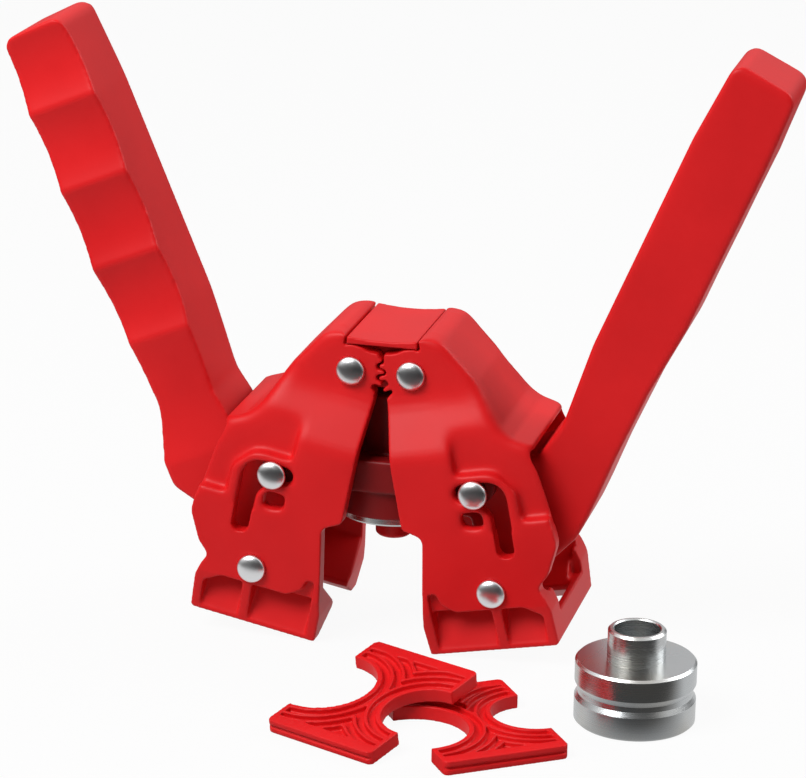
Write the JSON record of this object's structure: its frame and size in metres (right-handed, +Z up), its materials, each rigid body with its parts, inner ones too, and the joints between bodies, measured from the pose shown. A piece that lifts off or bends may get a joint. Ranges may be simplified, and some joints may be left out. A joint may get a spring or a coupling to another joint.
{
  "type": "bottle capper",
  "caption": "Hand bottle capper whose geared jaws close round the neck while its levers press a crimping bell down, with a spare bell and neck plates beside it.",
  "frame": {"origin": "middle of the set's footprint on the surface it stands on", "axes": "+X to the capper's right lever, +Y from its front to its back, +Z up"},
  "size_m": [0.2824, 0.1663, 0.2204],
  "materials": {
    "red_plastic": "satin moulded",
    "steel": "bright domed",
    "zinc": "turned, zinc plated",
    "magnet": "dull"
  },
  "bodies": {
    "hinge": {"hinge_bridge": "red_plastic", "left_hinge_pin": "steel", "left_hinge_front_cap": "steel", "left_hinge_rear_cap": "steel", "right_hinge_pin": "steel", "right_hinge_front_cap": "steel", "right_hinge_rear_cap": "steel"},
    "left_jaw": {"left_jaw": "red_plastic", "left_lever_pin": "steel", "left_lever_front_cap": "steel", "left_lever_rear_cap": "steel"},
    "right_jaw": {"right_jaw": "red_plastic", "right_lever_pin": "steel", "right_lever_front_cap": "steel", "right_lever_rear_cap": "steel"},
    "left_lever": {"left_lever": "red_plastic"},
    "right_lever": {"right_lever": "red_plastic"},
    "carrier": {"bell_carrier": "red_plastic", "left_guide_pin": "steel", "left_guide_front_cap": "steel", "left_guide_rear_cap": "steel", "right_guide_pin": "steel", "right_guide_front_cap": "steel", "right_guide_rear_cap": "steel", "capping_bell": "zinc"},
    "plunger": {"cap_plunger": "red_plastic", "bell_magnet": "magnet"},
    "spare_bell": {"spare_bell": "zinc"},
    "neck_plate_a": {"neck_plate_a": "red_plastic"},
    "neck_plate_b": {"neck_plate_b": "red_plastic"}
  },
  "joints": [
    {"name": "left_lever_press", "type": "hinge", "parent": "left_jaw", "child": "left_lever", "pos_m": [-0.04435, 0.04695, 0.02769], "axis": [0, -1, 0], "range_deg": [0, 28]},
    {"name": "right_lever_press", "type": "hinge", "parent": "right_jaw", "child": "right_lever", "pos_m": [0.04435, 0.04695, 0.02769], "axis": [0, 1, 0], "range_deg": [0, 28]},
    {"name": "left_jaw_close", "type": "hinge", "parent": "hinge", "child": "left_jaw", "pos_m": [-0.011, 0.04695, 0.1023], "axis": [0, -1, 0], "range_deg": [0, 11]},
    {"name": "right_jaw_close", "type": "hinge", "parent": "hinge", "child": "right_jaw", "pos_m": [0.011, 0.04695, 0.1023], "axis": [0, 1, 0], "range_deg": [0, 11]},
    {"name": "carrier_press", "type": "slide", "parent": "hinge", "child": "carrier", "axis": [0, 0, -1], "range_m": [0, 0.0105]},
    {"name": "cap_plunger_press", "type": "slide", "parent": "carrier", "child": "plunger", "axis": [0, 0, 1], "range_m": [0, 0.0099]},
    {"name": "spare_bell_lift", "type": "slide", "parent": "hinge", "child": "spare_bell", "axis": [0, 0, 1], "range_m": [0, 0.06]},
    {"name": "neck_plate_a_lift", "type": "slide", "parent": "hinge", "child": "neck_plate_a", "axis": [0, 0, 1], "range_m": [0, 0.06]},
    {"name": "neck_plate_b_draw", "type": "slide", "parent": "hinge", "child": "neck_plate_b", "axis": [0.7071, -0.7071, 0], "range_m": [0, 0.08]}
  ],
  "couplings": [
    {"joint": "right_lever_press", "follows": "left_lever_press", "ratio": 1},
    {"joint": "left_jaw_close", "follows": "left_lever_press", "ratio": 0.39285},
    {"joint": "right_jaw_close", "follows": "left_lever_press", "ratio": 0.39285},
    {"joint": "carrier_press", "follows": "left_lever_press", "m_per_rad": 0.021485}
  ]
}
